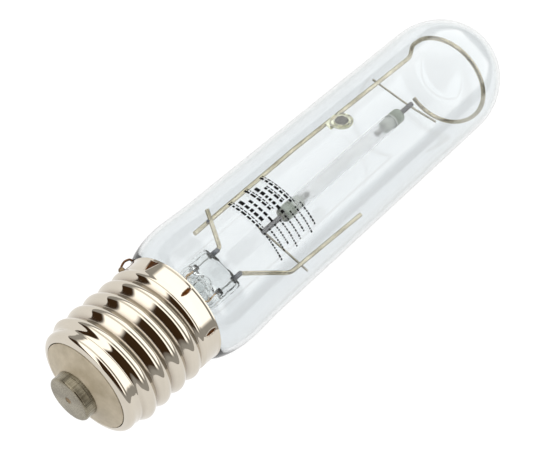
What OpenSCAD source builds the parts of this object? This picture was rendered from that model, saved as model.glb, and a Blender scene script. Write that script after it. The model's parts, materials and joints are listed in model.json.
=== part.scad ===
// Clear tubular high-pressure sodium grow lamp with an E40 screw cap.
// X runs along the lamp's axis, from the centre contact's face (0) to the dome.
// The wire frame lies in the XY plane, with its long rod on the +Y side.
// All lengths are in millimetres.

/* [Envelope] */
// Overall length, from the centre contact to the top of the dome
overall_length = 211; // [205:1:225]
// Outside diameter of the straight glass tube
tube_diameter = 45.2; // [45:0.1:45.8]
// Largest diameter of the glass, at its shoulder above the cap
shoulder_diameter = 46; // [46:0.1:47]
// Wall thickness of the outer bulb
glass_wall = 1.2; // [0.9:0.1:1.5]

/* [Screw cap] */
// Outside diameter over the thread crests
crest_diameter = 39.3; // [39.1:0.1:39.5]
// Depth of the rolled thread, crest to root
thread_depth = 1.8; // [1.5:0.1:1.8]
// Pitch of the thread
thread_pitch = 6.35; // [6.2:0.05:6.5]
// Diameter of the centre contact
contact_diameter = 15.4; // [14:0.2:16]

/* [Arc tube] */
// Distance from the centre contact to the middle of the arc
light_centre = 129.9; // [128:0.1:132]
// Outside diameter of the ceramic arc tube
arc_tube_diameter = 5.8; // [5.6:0.1:6.6]
// Length of the ceramic arc tube over its end plugs
arc_tube_length = 66; // [62:1:68]

/* [Wire frame] */
// Diameter of the long support rod and the dome ring
rod_diameter = 1.6; // [1.4:0.1:1.8]
// Diameter of the two leads that stand on the stem
lead_diameter = 1.5; // [1.3:0.1:1.6]
// Radius of the ring that steadies the frame inside the dome
ring_radius = 17.3; // [16.5:0.1:17.6]

/* [Hidden] */
// Screw cap
skin = 0.45;
cap_height = 45;
thread_start = 10.2;
thread_end = 39.5;
thread_run = 3;
first_crest = 18.95;
crest_r = crest_diameter / 2;
root_r = crest_r - thread_depth;
thread_mean_r = (crest_r + root_r) / 2;
skirt_r = 19.1;
rim_r = 19.35;
lip_x = 6.9;
lip_r = 15.7;
lip_top_x = 8.9;
lip_top_r = 18.05;
dip_x = 10.8;
dip_r = 17.87;
cone_x = 3.9;
plug_top_x = 9.8;
contact_r = contact_diameter / 2;
contact_skin = 0.6;
eyelet_r = 1.15;
thread_sides = 36;
steps_per_pitch = 7;
lip_steps = 5;

// Outer bulb
neck_r = root_r - skin - 0.15;
neck_start = 20;
flare_start = 37;
mouth_r = 18.3;
shoulder_r = shoulder_diameter / 2;
tube_r = tube_diameter / 2;
shoulder_x = 60;
tube_start = 72;
dome_height = 24.3;
dome_x = overall_length - dome_height;
curve_steps = 9;
dome_steps = 14;

// Stem
flare_r = neck_r - glass_wall - 0.1;
stem_r = 8.4;
stem_wall = 1;
press_start = 60.3;
press_end = 68;
press_thick = 2.6;
bead_r = 2.3;
exhaust_r = 2.6;
exhaust_wall = 0.8;
exhaust_tip = 15;

// Leads
lead_y = 5.25;
seal_r = 0.55;
hookup_r = 0.3;
weld_r = 0.85;
weld_end = 70.6;
lead_r = lead_diameter / 2;
rod_r = rod_diameter / 2;
leg_bend = [72, lead_y + 0.35, 0];
leg_tip = [77.4, 17.4, lead_r + rod_r];
short_bend = [83.7, -15.8, 0];
short_tip = [119.8, -17.2, 0];
rod_foot = [69, 14.2, 0];
rod_middle = [120, 14.75, 0];
rod_kink = [overall_length - 24.6, 13.6, 0];
ring_centre = [overall_length - 22.35, -1, -0.1];
ring_from = 9;
ring_sweep = 276;
ring_lean = 3.1;
strap_r = 0.4;
strap_z = -(rod_r + strap_r);

// Arc tube
flange_length = 5.2;
plug_length = 9.5;
arc_wall = 0.55;
arc_r = arc_tube_diameter / 2;
bore_r = arc_r - arc_wall;
flange_r = arc_r - 0.15;
arc_low = light_centre - arc_tube_length / 2;
arc_high = light_centre + arc_tube_length / 2;
frit_r = 1.7;
frit_length = 0.8;
niobium_r = 0.95;
niobium_wall = 0.25;
niobium_low = 87.2;
niobium_high = light_centre + 40.5;
electrode_r = 0.45;
coil_r = 1.1;
coil_length = 3.4;
coil_standoff = 1.2;
dose_r = 0.55;

// Getter
getter_centre = [140.9, 10.9, 1.6];
getter_lean = -24.5;
getter_r = 4.15;
getter_inner_r = 2.4;
getter_rise = 1.1;
getter_skin = 0.25;
tab_length = 6.6;
tab_width = 3.2;
tab_skin = 0.3;

// Marking on the glass
mark_start = 73.4;
mark_depth = 0.04;
mark_step = 2.5;
mark_bars = 8;
mark_thick = 1.7;
mark_thin = 0.9;
mark_gap_angle = 97;

// Finishes
nickel = [0.80, 0.76, 0.68];
vitrite = [0.66, 0.62, 0.55];
solder = [0.62, 0.63, 0.63];
clear_glass = [0.86, 0.92, 0.93, 0.3];
oxide_wire = [0.62, 0.38, 0.14];
grey_metal = [0.45, 0.46, 0.46];
frame_wire = [0.70, 0.66, 0.55];
alumina = [0.95, 0.95, 0.93, 0.75];
plug_grey = [0.55, 0.58, 0.53];
niobium = [0.30, 0.31, 0.32];
tungsten = [0.25, 0.25, 0.26];
getter_dark = [0.27, 0.27, 0.24];
ink = [0.05, 0.05, 0.06];

// Sub-part to draw

// Points are [x, radius] pairs, turned about the lamp's axis.
module lathe(points, facets = 64)
    rotate([0, 90, 0])
        rotate_extrude($fn = facets)
            polygon([for (p = points) [p[1], p[0]]]);

// Solid bar of round wire between two points.
module bar(from, to, r) {
    v = to - from;
    len = norm(v);
    translate(from)
        rotate([0, acos(v[2] / len), atan2(v[1], v[0])])
            cylinder(h = len, r = r, $fn = 20);
}

function unit(v) = v / norm(v);

// Direction of a wire at one of its points: the mean of the pieces that meet there.
function tangent(points, i) =
    i == 0 ? unit(points[1] - points[0])
    : i == len(points) - 1 ? unit(points[i] - points[i - 1])
    : unit(unit(points[i] - points[i - 1]) + unit(points[i + 1] - points[i]));

// Bent round wire through a list of points, mitred at each bend. Every wire
// bends in, or close to, the plane of the frame.
module wire(points, r, sides = 16) {
    last = len(points) - 1;
    rings = [
        for (i = [0 : last])
            let (t = tangent(points, i))
            let (across = unit(cross([0, 0, 1], t)))
            let (up = cross(t, across))
            let (mitre = i == 0 ? 1 : 1 / (t * unit(points[i] - points[i - 1])))
            for (j = [0 : sides - 1])
                let (a = 360 * j / sides)
                points[i] + r * (mitre * cos(a) * across + sin(a) * up)
    ];
    walls = [
        for (i = [0 : last - 1]) for (j = [0 : sides - 1])
            let (a = i * sides + j, b = i * sides + (j + 1) % sides)
            each [[a, b, b + sides], [a, b + sides, a + sides]]
    ];
    near_end = [for (j = [sides - 1 : -1 : 0]) j];
    far_end = [for (j = [0 : sides - 1]) last * sides + j];
    polyhedron(rings, concat(walls, [near_end, far_end]), convexity = 6);
}

// Cylinder along the lamp's axis from x0 to x1, at height y.
module axial(x0, x1, r, y = 0, facets = 32)
    translate([x0, y, 0])
        rotate([0, 90, 0])
            cylinder(h = x1 - x0, r = r, $fn = facets);

// Hollow cylinder along the lamp's axis.
module axial_tube(x0, x1, r, wall)
    lathe([[x0, r - wall], [x0, r], [x1, r], [x1, r - wall]], 32);

function blend(t) = (1 - cos(180 * min(1, max(0, t)))) / 2;
function arc(t) = sqrt(max(0, 1 - t * t));
function steps(from, to, count) = [for (i = [0 : count]) from + (to - from) * i / count];

// Outline of the cap's rolled lower lip, from the insulator out to its widest point,
// and of the shallow dip between the lip and the thread.
function lip_curve(x) =
    lip_r + (lip_top_r - lip_r) * arc(1 - (x - lip_x) / (lip_top_x - lip_x));
function dip_curve(x) =
    lip_top_r + (dip_r - lip_top_r) * blend((x - lip_top_x) / (dip_x - lip_top_x))
    + (thread_mean_r - dip_r) * blend((x - dip_x) / (thread_start + thread_run - dip_x));

// Radius of the cap's outside at one station and one angle about the axis.
function thread_fade(x) =
    blend((x - thread_start) / thread_run) * blend((thread_end - x) / thread_run);
function cap_base(x) =
    x < lip_top_x ? lip_curve(x)
    : x < cap_height - 1 ? dip_curve(x) + (skirt_r - thread_mean_r)
        * blend((x - thread_end + 2 * thread_run) / (2 * thread_run))
    : skirt_r + (rim_r - skirt_r) * (x - cap_height + 1);
function cap_r(x, a) =
    cap_base(x) + thread_fade(x) * thread_depth / 2
    * cos(360 * (x - first_crest) / thread_pitch - a);

cap_stations = concat(
    steps(lip_x, lip_top_x, lip_steps),
    steps(thread_start, thread_end,
        round((thread_end - thread_start) / thread_pitch * steps_per_pitch)),
    [cap_height - 1, cap_height]
);

// Sheet-metal shell with its knuckle thread pressed right through the skin.
module cap_shell() {
    rows = len(cap_stations);
    sides = thread_sides;
    turn = 360 / sides;
    function ring_points(inset) = [
        for (x = cap_stations)
            for (j = [0 : sides - 1])
                let (r = max(cap_r(x, j * turn) - inset, lip_r - inset / 3))
                let (shift = inset * max(0, lip_top_x - x) / (lip_top_x - lip_x))
                [x + shift, r * cos(j * turn), r * sin(j * turn)]
    ];
    points = concat(ring_points(0), ring_points(skin));
    inner = rows * sides;
    function at(base, i, j) = base + i * sides + j % sides;
    outside = [
        for (i = [0 : rows - 2]) for (j = [0 : sides - 1]) each [
            [at(0, i, j), at(0, i + 1, j), at(0, i + 1, j + 1)],
            [at(0, i, j), at(0, i + 1, j + 1), at(0, i, j + 1)]
        ]
    ];
    inside = [
        for (i = [0 : rows - 2]) for (j = [0 : sides - 1]) each [
            [at(inner, i, j), at(inner, i + 1, j + 1), at(inner, i + 1, j)],
            [at(inner, i, j), at(inner, i, j + 1), at(inner, i + 1, j + 1)]
        ]
    ];
    last = rows - 1;
    ends = [
        for (j = [0 : sides - 1]) each [
            [at(0, 0, j), at(0, 0, j + 1), at(inner, 0, j + 1)],
            [at(0, 0, j), at(inner, 0, j + 1), at(inner, 0, j)],
            [at(0, last, j), at(inner, last, j + 1), at(0, last, j + 1)],
            [at(0, last, j), at(inner, last, j), at(inner, last, j + 1)]
        ]
    ];
    color(nickel) polyhedron(points, concat(outside, inside, ends), convexity = 10);
}

// Moulded glass disc that keeps the centre contact off the shell.
module cap_insulator()
    color(vitrite)
        lathe([
            [contact_skin, eyelet_r],
            [contact_skin, contact_r - contact_skin],
            [cone_x, contact_r - contact_skin],
            [cone_x, contact_r + 0.8],
            [lip_x - 0.15, lip_r - 0.3],
            [plug_top_x, lip_r - 0.3],
            [plug_top_x, eyelet_r]
        ]);

// Shallow metal cup with a bevelled edge and a hole for the centre lead.
module centre_contact()
    color(nickel)
        lathe([
            [0, eyelet_r],
            [0, contact_r - 0.8],
            [0.25, contact_r - 0.3],
            [0.9, contact_r],
            [cone_x, contact_r],
            [cone_x, contact_r - contact_skin],
            [contact_skin, contact_r - contact_skin],
            [contact_skin, eyelet_r]
        ]);

// Solder that fills the contact's eyelet around the centre lead.
module contact_solder()
    color(solder)
        difference() {
            axial(0.1, 2.4, eyelet_r);
            axial(1.2, 3, hookup_r);
        }

function side_lead_path() = [
    [press_start, lead_y, 0], [24, lead_y, 0], [17.4, 13, 0], [18.4, neck_r - 0.2, 0],
    [flare_start, neck_r - 0.2, 0], [cap_height - 0.4, mouth_r + 0.35, 0],
    [cap_height + 1.4, rim_r + 0.1, 0], [cap_height + 0.9, rim_r + 1.1, 0],
    [cap_height - 3.2, skirt_r + 0.75, 0]
];

// Thin wire from the long lead, around the neck and over the cap's rim.
module side_lead()
    color(oxide_wire) wire(side_lead_path(), hookup_r);

// Weld bead that ties the side lead to the skirt.
module side_weld()
    color(solder)
        translate([cap_height - 4.6, skirt_r + 0.75, 0])
            rotate([0, 90, 0]) cylinder(h = 1.4, r1 = 0.55, r2 = 0.8, $fn = 24);

// Thin wire from the short lead down to the centre contact.
module centre_lead()
    color(oxide_wire)
        wire([[press_start, -lead_y, 0], [26, -lead_y, 0], [13, 0, 0], [1.2, 0, 0]], hookup_r);

// Outside radius of the glass at one station.
function bulb_r(x) =
    x < flare_start ? neck_r
    : x < cap_height ? neck_r + (mouth_r - neck_r) * blend((x - flare_start) / (cap_height - flare_start))
    : x < shoulder_x ? mouth_r + (shoulder_r - mouth_r)
        * arc((shoulder_x - x) / (shoulder_x - cap_height))
    : tube_r + (shoulder_r - tube_r) * blend((tube_start - x) / (tube_start - shoulder_x));

function bulb_stations() = concat(
    [neck_start, flare_start],
    [for (x = steps(flare_start, cap_height, 3)) if (x > flare_start) x],
    [for (t = steps(0, 90, curve_steps)) if (t > 0)
        cap_height + (shoulder_x - cap_height) * (1 - cos(t))],
    [for (x = steps(shoulder_x, tube_start, 4)) if (x > shoulder_x) x],
    [dome_x]
);

// Dome outline for a skin that lies inset below the outside.
function dome(inset) = [
    for (i = [1 : dome_steps])
        let (t = 90 * i / dome_steps)
        [dome_x + (dome_height - inset) * sin(t), i == dome_steps ? 0 : (tube_r - inset) * cos(t)]
];

function bulb_outline(inset) =
    concat([for (x = bulb_stations()) [x, bulb_r(x) - inset]], dome(inset));

// Hollow glass bulb: neck, shoulder, straight tube and dome.
module outer_bulb()
    color(clear_glass)
        difference() {
            lathe(concat(bulb_outline(0),
                [for (i = [1 : len(bulb_outline(0))])
                    bulb_outline(glass_wall)[len(bulb_outline(0)) - i]]));
            bar([neck_start - 1, neck_r - 0.2, 0], [flare_start, neck_r - 0.2, 0],
                hookup_r + 0.05);
            glass_marking();
        }

// Flare tube, pressed shut at its upper end around the two seal wires.
module stem_glass()
    color(clear_glass)
        difference() {
            union() {
                lathe([
                    [neck_start + 0.2, flare_r - stem_wall], [neck_start + 0.2, flare_r],
                    [neck_start + 1.4, flare_r], [32, stem_r], [58, stem_r],
                    [press_start + 1.2, stem_r - 2], [press_start + 1.2, stem_r - 3],
                    [57.6, stem_r - stem_wall], [31.6, stem_r - stem_wall],
                    [neck_start + 1, flare_r - stem_wall]
                ]);
                translate([press_start, -stem_r, -press_thick / 2])
                    cube([press_end - press_start - 0.8, 2 * stem_r, press_thick]);
                for (side = [-1, 1])
                    axial(press_start, press_end, bead_r, side * lead_y);
            }
            for (side = [-1, 1])
                axial(press_start - 1, press_end + 1, seal_r, side * lead_y);
        }

// Exhaust tube, melted shut at its lower end inside the cap.
module exhaust_tube()
    color(clear_glass)
        lathe([
            [exhaust_tip, 0], [exhaust_tip + 1, 1.4], [exhaust_tip + 3, exhaust_r],
            [press_start, exhaust_r], [press_start, exhaust_r - exhaust_wall],
            [exhaust_tip + 4, exhaust_r - exhaust_wall], [exhaust_tip + 2.6, 0]
        ], 32);

// Wire through the press, from the hook-up wire below to the ferrule above.
module seal_wire(side)
    color(oxide_wire) axial(press_start, press_end, seal_r, side * lead_y);
module seal_wire_long() seal_wire(1);
module seal_wire_short() seal_wire(-1);

// Short welded section where a lead stands on its seal wire.
module ferrule(side)
    color(grey_metal) axial(press_end, weld_end, weld_r, side * lead_y);
module ferrule_long() ferrule(1);
module ferrule_short() ferrule(-1);

// Bent leg from the stem that carries the support rod.
module long_leg()
    color(frame_wire) wire([[weld_end, lead_y, 0], leg_bend, leg_tip], lead_r);

// Short lead, cranked out beside the arc tube.
module short_lead()
    color(frame_wire) wire([[weld_end, -lead_y, 0], short_bend, short_tip], lead_r);

// Long rod past the arc tube, kinked outward below the dome.
module support_rod()
    color(frame_wire) wire([rod_foot, rod_middle, rod_kink, ring_start()], rod_r);

function ring_start() = [
    ring_centre[0] + ring_radius * sin(ring_from) * sin(ring_lean),
    ring_centre[1] + ring_radius * cos(ring_from),
    ring_centre[2] + ring_radius * sin(ring_from) * cos(ring_lean)
];

// Open ring that steadies the frame inside the dome.
module dome_ring()
    color(frame_wire)
        translate(ring_centre)
            rotate([0, 90 + ring_lean, 0])
                rotate([0, 0, 90 + ring_from])
                    rotate_extrude(angle = ring_sweep, $fn = 72)
                        translate([ring_radius, 0]) circle(r = rod_r, $fn = 20);

// Thin straps that tie the arc tube's ends to the frame.
module upper_strap()
    color(frame_wire)
        wire([[niobium_high - 3.3, 16.3, strap_z], [niobium_high - 0.4, 0, strap_z],
            [niobium_high + 2.9, -10.6, strap_z]], strap_r);
module lower_strap()
    color(frame_wire)
        bar([niobium_low + 1, 2.4, strap_z], [niobium_low + 2.5, -19.1, strap_z], strap_r);

// Small weld nuggets in the corners where wires cross, one on each side of the
// thinner wire.
module rod_welds()
    color(grey_metal)
        for (p = weld_points())
            translate(p) sphere(r = 0.5, $fn = 16);

function weld_points() = [
    [74.9, rod_middle[1] - 0.4, rod_r + 0.42],
    [niobium_high - 3.9, rod_middle[1] - 0.6, -rod_r - 0.42],
    [niobium_low + 1.3, short_bend[1] - 0.2, -lead_r - 0.42]
];

// Translucent ceramic tube that holds the arc, between the flanges of its plugs.
module arc_tube()
    color(alumina)
        axial_tube(arc_low + flange_length, arc_high - flange_length, arc_r, arc_wall);

// Ceramic plug: a flange on the tube's end and a spigot inside it. way is +1 at
// the upper end.
module plug(x_out, way)
    color(plug_grey)
        lathe([
            [x_out, electrode_r], [x_out, flange_r - 0.8], [x_out - way * 0.25, flange_r - 0.25],
            [x_out - way * 0.8, flange_r], [x_out - way * flange_length, flange_r],
            [x_out - way * flange_length, bore_r],
            [x_out - way * (plug_length - 0.4), bore_r],
            [x_out - way * plug_length, bore_r - 0.4], [x_out - way * plug_length, electrode_r]
        ], 32);
module upper_plug() plug(arc_high, 1);
module lower_plug() plug(arc_low, -1);

// Sealing glass that beds the niobium tube on its plug.
module frit(x_face, way)
    color(plug_grey)
        lathe([
            [x_face, niobium_r], [x_face, frit_r], [x_face + way * 0.3, frit_r - 0.1],
            [x_face + way * frit_length, niobium_r + 0.2], [x_face + way * frit_length, niobium_r]
        ], 32);
module upper_frit() frit(arc_high, 1);
module lower_frit() frit(arc_low, -1);

// Niobium feedthrough tube, closed at its outer end.
module feedthrough(x_in, x_out, way)
    color(niobium)
        lathe([
            [x_in, niobium_r - niobium_wall], [x_in, niobium_r], [x_out, niobium_r], [x_out, 0],
            [x_out - way * niobium_wall, 0], [x_out - way * niobium_wall, niobium_r - niobium_wall]
        ], 32);
module upper_niobium() feedthrough(arc_high, niobium_high, 1);
module lower_niobium() feedthrough(arc_low, niobium_low, -1);

// Tungsten rod through the plug, with its coil inside the arc tube.
electrode_reach = plug_length + coil_standoff + coil_length;
module upper_electrode()
    color(tungsten) axial(arc_high - electrode_reach, arc_high, electrode_r);
module lower_electrode()
    color(tungsten) axial(arc_low, arc_low + electrode_reach, electrode_r);
module upper_coil()
    color(tungsten)
        axial_tube(arc_high - electrode_reach + 0.4, arc_high - plug_length - coil_standoff + 0.4,
            coil_r, coil_r - electrode_r);
module lower_coil()
    color(tungsten)
        axial_tube(arc_low + plug_length + coil_standoff - 0.4, arc_low + electrode_reach - 0.4,
            coil_r, coil_r - electrode_r);

// Sodium amalgam that has settled beside the lower plug.
module sodium_dose()
    color(solder)
        translate([arc_low + plug_length + dose_r, 0, -bore_r + dose_r])
            sphere(r = dose_r, $fn = 20);

module at_getter()
    translate(getter_centre) rotate([getter_lean, 0, 0]) children();

// Pressed ring with a channel, and a floor under its dark fill.
module getter_ring()
    color(frame_wire)
        at_getter()
            rotate_extrude($fn = 48)
                polygon([
                    [0, 0], [getter_r - 0.5, 0], [getter_r, 0.5], [getter_r, getter_rise],
                    [getter_r - getter_skin, getter_rise], [getter_r - getter_skin, getter_skin],
                    [getter_inner_r + getter_skin, getter_skin],
                    [getter_inner_r + getter_skin, getter_rise],
                    [getter_inner_r, getter_rise], [getter_inner_r, getter_skin],
                    [0, getter_skin]
                ]);

// Pressed getter powder.
module getter_fill()
    color(getter_dark)
        at_getter()
            translate([0, 0, getter_skin])
                cylinder(h = getter_rise - getter_skin - 0.2, r = getter_inner_r, $fn = 48);

// Flat tab from the ring to the support rod.
module getter_tab()
    color(frame_wire)
        difference() {
            translate([getter_centre[0] - tab_length / 2 - 1.6, rod_middle[1] - 0.15 - tab_width, rod_r])
                cube([tab_length, tab_width, tab_skin]);
            at_getter() translate([0, 0, -0.01]) cylinder(h = 9, r = getter_r + 0.02, $fn = 48);
        }

// One printed bar around the glass, from one angle to another.
module printed_bar(x, width, from, to)
    translate([x, 0, 0])
        rotate([0, 90, 0])
            rotate([0, 0, 90 + from])
                rotate_extrude(angle = to - from, $fn = 64)
                    translate([tube_r - mark_depth, 0]) square([mark_depth, width]);

// Print fired into the glass: two columns of plain bars, with no lettering.
module glass_marking()
    color(ink)
        for (i = [0 : mark_bars - 1]) {
            x = mark_start + i * mark_step;
            printed_bar(x, mark_thin, mark_gap_angle + 2, mark_gap_angle + 28 - 3 * (i % 3));
            if (i < mark_bars - 1)
                printed_bar(x, mark_thick, mark_gap_angle - 36 + 5 * (i % 3), mark_gap_angle - 6 * (i % 2));
        }

cap_shell();
cap_insulator();
centre_contact();
contact_solder();
side_lead();
side_weld();
centre_lead();
outer_bulb();
stem_glass();
exhaust_tube();
seal_wire_long();
seal_wire_short();
ferrule_long();
ferrule_short();
long_leg();
short_lead();
support_rod();
dome_ring();
upper_strap();
lower_strap();
rod_welds();
arc_tube();
upper_plug();
lower_plug();
upper_frit();
lower_frit();
upper_niobium();
lower_niobium();
upper_electrode();
lower_electrode();
upper_coil();
lower_coil();
sodium_dose();
getter_ring();
getter_fill();
getter_tab();
glass_marking();
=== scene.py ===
import json
import math

import bmesh
import bpy
import numpy as np
from mathutils import Matrix, Vector


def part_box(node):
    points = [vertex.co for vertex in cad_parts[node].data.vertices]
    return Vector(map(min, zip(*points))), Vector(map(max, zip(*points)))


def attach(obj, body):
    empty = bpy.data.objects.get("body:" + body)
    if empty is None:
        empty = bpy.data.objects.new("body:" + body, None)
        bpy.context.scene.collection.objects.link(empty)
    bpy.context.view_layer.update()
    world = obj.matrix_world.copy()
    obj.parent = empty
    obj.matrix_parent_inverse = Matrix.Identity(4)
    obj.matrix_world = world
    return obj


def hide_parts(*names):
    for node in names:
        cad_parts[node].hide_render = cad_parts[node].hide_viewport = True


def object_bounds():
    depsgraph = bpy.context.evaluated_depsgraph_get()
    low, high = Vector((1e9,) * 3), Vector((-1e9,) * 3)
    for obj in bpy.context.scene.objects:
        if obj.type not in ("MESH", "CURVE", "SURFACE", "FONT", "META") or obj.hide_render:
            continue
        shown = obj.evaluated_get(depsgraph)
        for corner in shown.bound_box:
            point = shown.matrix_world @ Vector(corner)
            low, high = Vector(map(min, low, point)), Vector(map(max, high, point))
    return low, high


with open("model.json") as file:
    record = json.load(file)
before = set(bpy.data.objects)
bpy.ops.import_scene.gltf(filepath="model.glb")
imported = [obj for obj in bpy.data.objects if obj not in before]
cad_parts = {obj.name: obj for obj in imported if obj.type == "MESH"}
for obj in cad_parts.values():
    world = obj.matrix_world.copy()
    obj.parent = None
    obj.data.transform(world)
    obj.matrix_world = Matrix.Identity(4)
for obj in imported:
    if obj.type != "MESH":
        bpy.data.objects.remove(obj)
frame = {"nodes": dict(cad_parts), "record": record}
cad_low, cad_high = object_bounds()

# Looks of the tubular sodium grow lamp. X is the lamp's axis, with the centre
# contact at 0. Everything is in metres; MM turns millimetres into them.
MM = 0.001
TAU = 2 * math.pi
# Sides of a turned piece, share of a wire's radius by which its cut ends are crowned, and
# the sizes of the rings that make the crown.
ROUND = 128
CROWN = 0.25
CROWN_SIZES = (0.0, 0.6, 0.9, 1.0)


# ---------------------------------------------------------------- mesh helpers

def spans(start, stop, count):
    """Evenly spaced values, with both ends."""
    return list(np.linspace(start, stop, count))


def ease(t):
    """Smooth step from 0 to 1."""
    t = np.clip(t, 0.0, 1.0)
    return t * t * (3 - 2 * t)


def piece(name, mesh, material, replaces=(), sharp=40):
    """Links a mesh as a piece that rides on the lamp and takes its finish from a slot."""
    mesh.materials.append(material)
    for face in mesh.polygons:
        face.use_smooth = True
    mesh.set_sharp_from_angle(angle=math.radians(sharp))
    obj = bpy.data.objects.new(name, mesh)
    bpy.context.scene.collection.objects.link(obj)
    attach(obj, "root")
    if replaces:
        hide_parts(*replaces)


def band(bm, low, high):
    """Faces between two rings of vertices."""
    for j in range(len(low)):
        k = (j + 1) % len(low)
        bm.faces.new((low[j], low[k], high[k], high[j]))


def skin_mesh(name, shells):
    """A mesh from shells of rings. Each shell is (rings, closed): rings is an array of
    points (rings, sides, 3), and closed joins the last ring to the first. An open
    shell's end rings are filled. A ring of no size is welded to one point."""
    mesh = bpy.data.meshes.new(name)
    bm = bmesh.new()
    for rings, closed in shells:
        verts = [[bm.verts.new(p) for p in ring] for ring in rings]
        for low, high in zip(verts, verts[1:]):
            band(bm, low, high)
        if closed:
            band(bm, verts[-1], verts[0])
        else:
            bm.faces.new(verts[0])
            bm.faces.new(verts[-1][::-1])
    bmesh.ops.remove_doubles(bm, verts=bm.verts, dist=2e-7)
    bmesh.ops.dissolve_degenerate(bm, edges=bm.edges, dist=1e-7)
    bmesh.ops.recalc_face_normals(bm, faces=bm.faces)
    bm.to_mesh(mesh)
    bm.free()
    return mesh


def around(sides):
    """Angles of the sides of a ring."""
    return np.arange(sides) * TAU / sides


def axis_ring(x, r, angles):
    """Ring about the lamp's axis. The radius is one number or one for each angle."""
    return np.stack([np.full(len(angles), x), r * np.cos(angles), r * np.sin(angles)], axis=1)


def turned(profile, sides=ROUND):
    """Rings of an outline of (x, radius) points turned about the lamp's axis."""
    return np.array([axis_ring(x, r, around(sides)) for x, r in profile])


def lathe(name, profile, material, replaces=(), sides=ROUND):
    """A piece turned from a closed outline."""
    mesh = skin_mesh(name, [(turned(profile, sides), True)])
    piece(name, mesh, material, replaces)


def rounded(points, radius, steps=8):
    """A route through points with each bend replaced by a smooth curve."""
    points = [Vector(p) for p in points]
    path = [points[0]]
    for before, corner, after in zip(points, points[1:], points[2:]):
        run_in, run_out = before - corner, after - corner
        cut = min(radius, run_in.length * 0.45, run_out.length * 0.45)
        a = corner + run_in.normalized() * cut
        b = corner + run_out.normalized() * cut
        for t in spans(0, 1, steps):
            path.append(a * (1 - t) ** 2 + corner * 2 * t * (1 - t) + b * t * t)
    path.append(points[-1])
    return path


def wire_rings(path, radius, sides=20):
    """Rings of round wire along a path, with slightly crowned cut ends."""
    path = [Vector(p) for p in path]
    last = len(path) - 1
    tangents = []
    for i in range(len(path)):
        ahead = path[min(i + 1, last)] - path[max(i - 1, 0)]
        tangents.append(ahead.normalized())
    side = tangents[0].orthogonal().normalized()
    rings = []
    for i, (point, along) in enumerate(zip(path, tangents)):
        side = (side - along * side.dot(along)).normalized()
        up = along.cross(side)
        sizes = (1.0,)
        if i == 0:
            sizes = CROWN_SIZES
        if i == last:
            sizes = CROWN_SIZES[::-1]
        outward = 1 if i else -1
        for size in sizes:
            centre = point + along * (outward * radius * CROWN * (1 - size))
            rings.append([
                list(centre + (side * math.cos(a) + up * math.sin(a)) * radius * size)
                for a in around(sides)
            ])
    return np.array(rings)


def wire(name, path, radius, material, replaces=(), sides=20):
    """A piece of round wire along a path."""
    mesh = skin_mesh(name, [(wire_rings(path, radius, sides), False)])
    piece(name, mesh, material, replaces)


# ------------------------------------------------------------------- materials

def feed(tree, socket, value):
    """Links a socket to another node's output, or sets its value."""
    if hasattr(value, "is_output"):
        tree.links.new(value, socket)
    else:
        socket.default_value = value


def add_node(tree, kind, inputs=(), **settings):
    """Adds a node. Its inputs are given by name or by number."""
    node = tree.nodes.new(kind)
    for key, value in settings.items():
        setattr(node, key, value)
    for key, value in dict(inputs).items():
        socket = node.inputs[key]
        if isinstance(key, str):
            socket = [s for s in node.inputs if s.name == key and s.enabled][0]
        feed(tree, socket, value)
    return node


class Nodes:
    """A material's node tree, with a short way to add and join nodes."""

    def __init__(self, name):
        self.material = bpy.data.materials.new(name)
        self.material.use_nodes = True
        self.tree = self.material.node_tree
        self.shader = self.tree.nodes["Principled BSDF"]

    def add(self, kind, inputs=(), **settings):
        return add_node(self.tree, kind, inputs, **settings)

    def place(self, scale=(1, 1, 1)):
        """Object coordinates, scaled."""
        coords = self.add("ShaderNodeTexCoord").outputs["Object"]
        return self.add("ShaderNodeMapping", {"Vector": coords, "Scale": scale}).outputs[0]

    def along_lamp(self):
        """Distance along the lamp's axis."""
        return self.add("ShaderNodeSeparateXYZ", {0: self.place()}).outputs["X"]

    def calc(self, operation, a, b=0.0):
        return self.add("ShaderNodeMath", {0: a, 1: b}, operation=operation).outputs[0]

    def noise(self, where, scale, detail=4.0, roughness=0.55):
        return self.add("ShaderNodeTexNoise", {
            "Vector": where, "Scale": scale, "Detail": detail, "Roughness": roughness,
        }).outputs["Fac"]

    def ramp(self, fac, stops):
        """Colours along a value from 0 to 1, from (position, colour) stops."""
        node = self.add("ShaderNodeValToRGB", {"Fac": fac})
        ramp = node.color_ramp
        while len(ramp.elements) < len(stops):
            ramp.elements.new(0.5)
        for element, (position, colour) in zip(ramp.elements, stops):
            element.position = position
            element.color = (*colour, 1.0)
        return node.outputs["Color"]

    def spread(self, fac, low, high):
        """A noise's middle half, spread over low to high."""
        return self.add("ShaderNodeMapRange", {
            "Value": fac, "From Min": 0.25, "From Max": 0.75, "To Min": low, "To Max": high,
        }).outputs[0]

    def share(self, value, start, end):
        """How far a value has come from start to end, from 0 to 1."""
        return self.add("ShaderNodeMapRange", {
            "Value": value, "From Min": start, "From Max": end, "To Min": 0.0, "To Max": 1.0,
        }).outputs[0]

    def bump(self, height, distance):
        return self.add("ShaderNodeBump", {
            "Height": height, "Distance": distance, "Strength": 1.0,
        }).outputs["Normal"]

    def set(self, **sockets):
        """Sets or links the shader's sockets."""
        for key, value in sockets.items():
            feed(self.tree, self.shader.inputs[key.replace("_", " ")], value)


def tone(colour, factor):
    """A colour made lighter or darker."""
    return tuple(factor * c for c in colour)


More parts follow.
